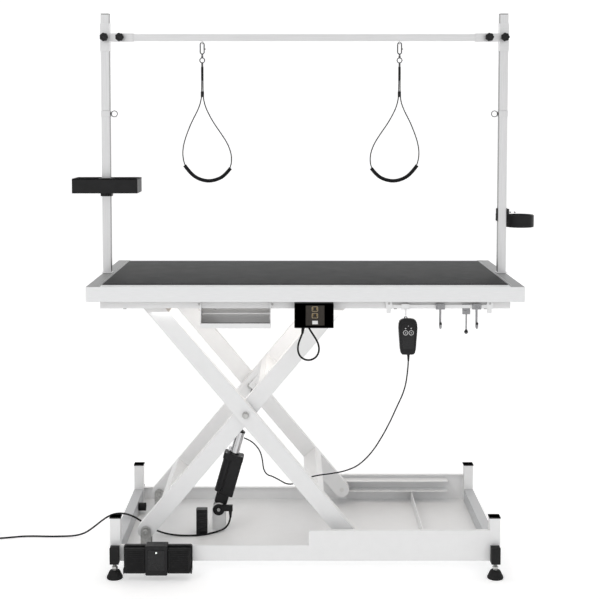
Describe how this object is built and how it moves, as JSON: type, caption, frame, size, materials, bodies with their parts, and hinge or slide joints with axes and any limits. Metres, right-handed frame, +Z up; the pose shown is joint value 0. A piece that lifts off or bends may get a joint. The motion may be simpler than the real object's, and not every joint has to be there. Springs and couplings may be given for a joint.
{
  "type": "electric grooming table",
  "caption": "Pet grooming table with an electric scissor lift, matted top, overhead bar with two nooses, trays, hooks, socket box, hand control and foot pedal",
  "frame": {"origin": "on the floor, under the middle of the table top", "axes": "+X is the object's right as the user faces the controls, +Y is away from the user, +Z is up"},
  "size_m": [1.7735, 0.65, 1.657],
  "materials": {
    "white_coat": "white powder coat, fine texture, semi-gloss",
    "grey_coat": "light grey powder coat",
    "stainless": "brushed along the tube",
    "steel": "ground",
    "zinc": "zinc plated",
    "chrome": "polished",
    "aluminium": "satin extrusion",
    "board": "plywood, sealed",
    "black_rubber": "matt, pebbled",
    "black_plastic": "fine moulded texture",
    "white_plastic": "smooth moulded",
    "grey_plastic": "smooth moulded",
    "black_cord": "matt cable sheath"
  },
  "bodies": {
    "base": {"base_floor": "white_coat", "base_walls": "white_coat", "base_side_rails": "grey_coat", "corner_posts": "white_coat", "rubber_caps": "black_rubber", "leg_sleeves": "black_plastic", "lower_pivots": "zinc", "lower_tracks": "grey_coat", "actuator_bracket": "grey_coat", "junction_box": "black_plastic", "power_cord": "black_cord", "power_coil": "black_cord", "power_plug": "black_plastic", "hand_cord": "black_cord"},
    "feet": {"levelling_feet": "black_rubber"},
    "inner_arms": {"inner_arm_frame": "white_coat", "centre_bolts": "zinc"},
    "upper_roller_set": {"upper_rollers": "white_plastic"},
    "outer_arms": {"outer_arm_frame": "white_coat"},
    "lower_roller_set": {"lower_rollers": "white_plastic"},
    "table": {"table_board": "board", "rubber_mat": "black_rubber", "edge_trim": "aluminium", "under_frame": "grey_coat", "upper_pivots": "zinc", "upper_tracks": "grey_coat", "lower_posts": "stainless", "accessory_tray": "white_coat", "outlet_box": "black_plastic", "outlet_insert": "grey_plastic", "outlet_cord": "black_cord", "hook_rail": "white_coat", "hand_control": "black_plastic"},
    "actuator_body": {"actuator_housing": "black_plastic", "actuator_tube": "chrome"},
    "actuator_ram": {"actuator_rod": "steel"},
    "rocker": {"outlet_rocker": "white_plastic"},
    "hook_2_body": {"hook_2": "white_coat"},
    "hook_3_body": {"hook_3": "white_coat"},
    "hook_4_body": {"hook_4": "white_coat"},
    "up_button": {"button_up": "grey_plastic"},
    "down_button": {"button_down": "grey_plastic"},
    "upper_frame": {"upper_posts": "stainless"},
    "overhead": {"overhead_bar": "stainless", "t_connectors": "stainless"},
    "knob_post_left_body": {"knob_post_left": "black_plastic"},
    "knob_post_right_body": {"knob_post_right": "black_plastic"},
    "knob_bar_left_body": {"knob_bar_left": "black_plastic"},
    "knob_bar_right_body": {"knob_bar_right": "black_plastic"},
    "pin_left": {"ring_pin_left": "chrome"},
    "pin_right": {"ring_pin_right": "chrome"},
    "noose_left": {"noose_left_hook": "chrome", "noose_left_loop": "black_cord"},
    "noose_right": {"noose_right_hook": "chrome", "noose_right_loop": "black_cord"},
    "tray_on_post": {"tool_tray": "black_plastic"},
    "dryer_ring": {"dryer_holder": "black_plastic"},
    "pedal": {"pedal_base": "black_plastic"},
    "left_treadle": {"treadle_left": "black_plastic"},
    "right_treadle": {"treadle_right": "black_plastic"}
  },
  "joints": [
    {"name": "lift", "type": "hinge", "parent": "base", "child": "inner_arms", "pos_m": [-0.475, 0, 0.106], "axis": [0, 1, 0], "range_deg": [0, 43.7], "deforming": ["hand_cord"]},
    {"name": "scissor_cross", "type": "hinge", "parent": "inner_arms", "child": "outer_arms", "pos_m": [-0.1746, 0, 0.464], "axis": [0, 1, 0], "range_deg": [-87.4, 0]},
    {"name": "table_level", "type": "hinge", "parent": "outer_arms", "child": "table", "pos_m": [-0.475, 0, 0.822], "axis": [0, 1, 0], "range_deg": [0, 43.7]},
    {"name": "upper_roller_spin", "type": "hinge", "parent": "inner_arms", "child": "upper_roller_set", "pos_m": [0.1258, 0, 0.822], "axis": [0, 1, 0], "continuous": true},
    {"name": "lower_roller_spin", "type": "hinge", "parent": "outer_arms", "child": "lower_roller_set", "pos_m": [0.1258, 0, 0.106], "axis": [0, 1, 0], "continuous": true},
    {"name": "actuator_swing", "type": "hinge", "parent": "base", "child": "actuator_body", "pos_m": [-0.268, 0, 0.114], "axis": [0, 1, 0], "range_deg": [0, 62.6]},
    {"name": "actuator_extend", "type": "slide", "parent": "actuator_body", "child": "actuator_ram", "axis": [0.2725, 0, 0.9621], "range_m": [-0.1025, 0]},
    {"name": "feet_adjust", "type": "slide", "parent": "base", "child": "feet", "axis": [0, 0, -1], "range_m": [0, 0.015]},
    {"name": "outlet_rocker_tilt", "type": "hinge", "parent": "table", "child": "rocker", "pos_m": [0.028, -0.321, 0.755], "axis": [0, 0, 1], "range_deg": [0, 6]},
    {"name": "hook_2_slide", "type": "slide", "parent": "table", "child": "hook_2_body", "axis": [1, 0, 0], "range_m": [-0.03, 0.03]},
    {"name": "hook_3_slide", "type": "slide", "parent": "table", "child": "hook_3_body", "axis": [1, 0, 0], "range_m": [-0.004, 0.015]},
    {"name": "hook_4_slide", "type": "slide", "parent": "table", "child": "hook_4_body", "axis": [1, 0, 0], "range_m": [-0.03, 0.005]},
    {"name": "button_up_press", "type": "slide", "parent": "table", "child": "up_button", "axis": [0, 1, 0], "range_m": [0, 0.002], "stiffness_N_per_m": 400},
    {"name": "button_down_press", "type": "slide", "parent": "table", "child": "down_button", "axis": [0, 1, 0], "range_m": [0, 0.002], "stiffness_N_per_m": 400},
    {"name": "frame_lift", "type": "slide", "parent": "table", "child": "upper_frame", "axis": [0, 0, 1], "range_m": [0, 0.12]},
    {"name": "bar_height", "type": "slide", "parent": "upper_frame", "child": "overhead", "axis": [0, 0, 1], "range_m": [-0.17, 0.03]},
    {"name": "knob_post_left_turn", "type": "hinge", "parent": "overhead", "child": "knob_post_left_body", "pos_m": [-0.6125, 0, 1.584], "axis": [0, 1, 0], "continuous": true},
    {"name": "knob_post_right_turn", "type": "hinge", "parent": "overhead", "child": "knob_post_right_body", "pos_m": [0.6125, 0, 1.584], "axis": [0, 1, 0], "continuous": true},
    {"name": "knob_bar_left_turn", "type": "hinge", "parent": "overhead", "child": "knob_bar_left_body", "pos_m": [-0.565, 0, 1.584], "axis": [0, 1, 0], "continuous": true},
    {"name": "knob_bar_right_turn", "type": "hinge", "parent": "overhead", "child": "knob_bar_right_body", "pos_m": [0.565, 0, 1.584], "axis": [0, 1, 0], "continuous": true},
    {"name": "ring_pin_left_pull", "type": "slide", "parent": "table", "child": "pin_left", "axis": [1, 0, 0], "range_m": [0, 0.01], "stiffness_N_per_m": 600},
    {"name": "ring_pin_right_pull", "type": "slide", "parent": "table", "child": "pin_right", "axis": [-1, 0, 0], "range_m": [0, 0.01], "stiffness_N_per_m": 600},
    {"name": "noose_left_swing", "type": "hinge", "parent": "overhead", "child": "noose_left", "pos_m": [-0.315, 0, 1.5629], "axis": [0, -1, 0], "range_deg": [-35, 35]},
    {"name": "noose_right_swing", "type": "hinge", "parent": "overhead", "child": "noose_right", "pos_m": [0.293, 0, 1.5629], "axis": [0, 1, 0], "range_deg": [-35, 35]},
    {"name": "tool_tray_height", "type": "slide", "parent": "table", "child": "tray_on_post", "axis": [0, 0, 1], "range_m": [-0.2, 0.15]},
    {"name": "dryer_holder_height", "type": "slide", "parent": "table", "child": "dryer_ring", "axis": [0, 0, 1], "range_m": [-0.13, 0.25]},
    {"name": "pedal_lift", "type": "slide", "parent": "base", "child": "pedal", "axis": [0, 0, 1], "range_m": [0, 0.06]},
    {"name": "treadle_left_press", "type": "hinge", "parent": "pedal", "child": "left_treadle", "pos_m": [-0.49, -0.311, 0.026], "axis": [-1, 0, 0], "range_deg": [0, 3.4], "stiffness_Nm_per_rad": 8},
    {"name": "treadle_right_press", "type": "hinge", "parent": "pedal", "child": "right_treadle", "pos_m": [-0.37, -0.311, 0.026], "axis": [-1, 0, 0], "range_deg": [0, 3.4], "stiffness_Nm_per_rad": 8}
  ],
  "couplings": [
    {"joint": "scissor_cross", "follows": "lift", "ratio": -2},
    {"joint": "table_level", "follows": "lift", "ratio": 1},
    {"joint": "actuator_swing", "follows": "lift", "ratio": 1.4303},
    {"joint": "actuator_extend", "follows": "lift", "m_per_rad": -0.13368}
  ]
}
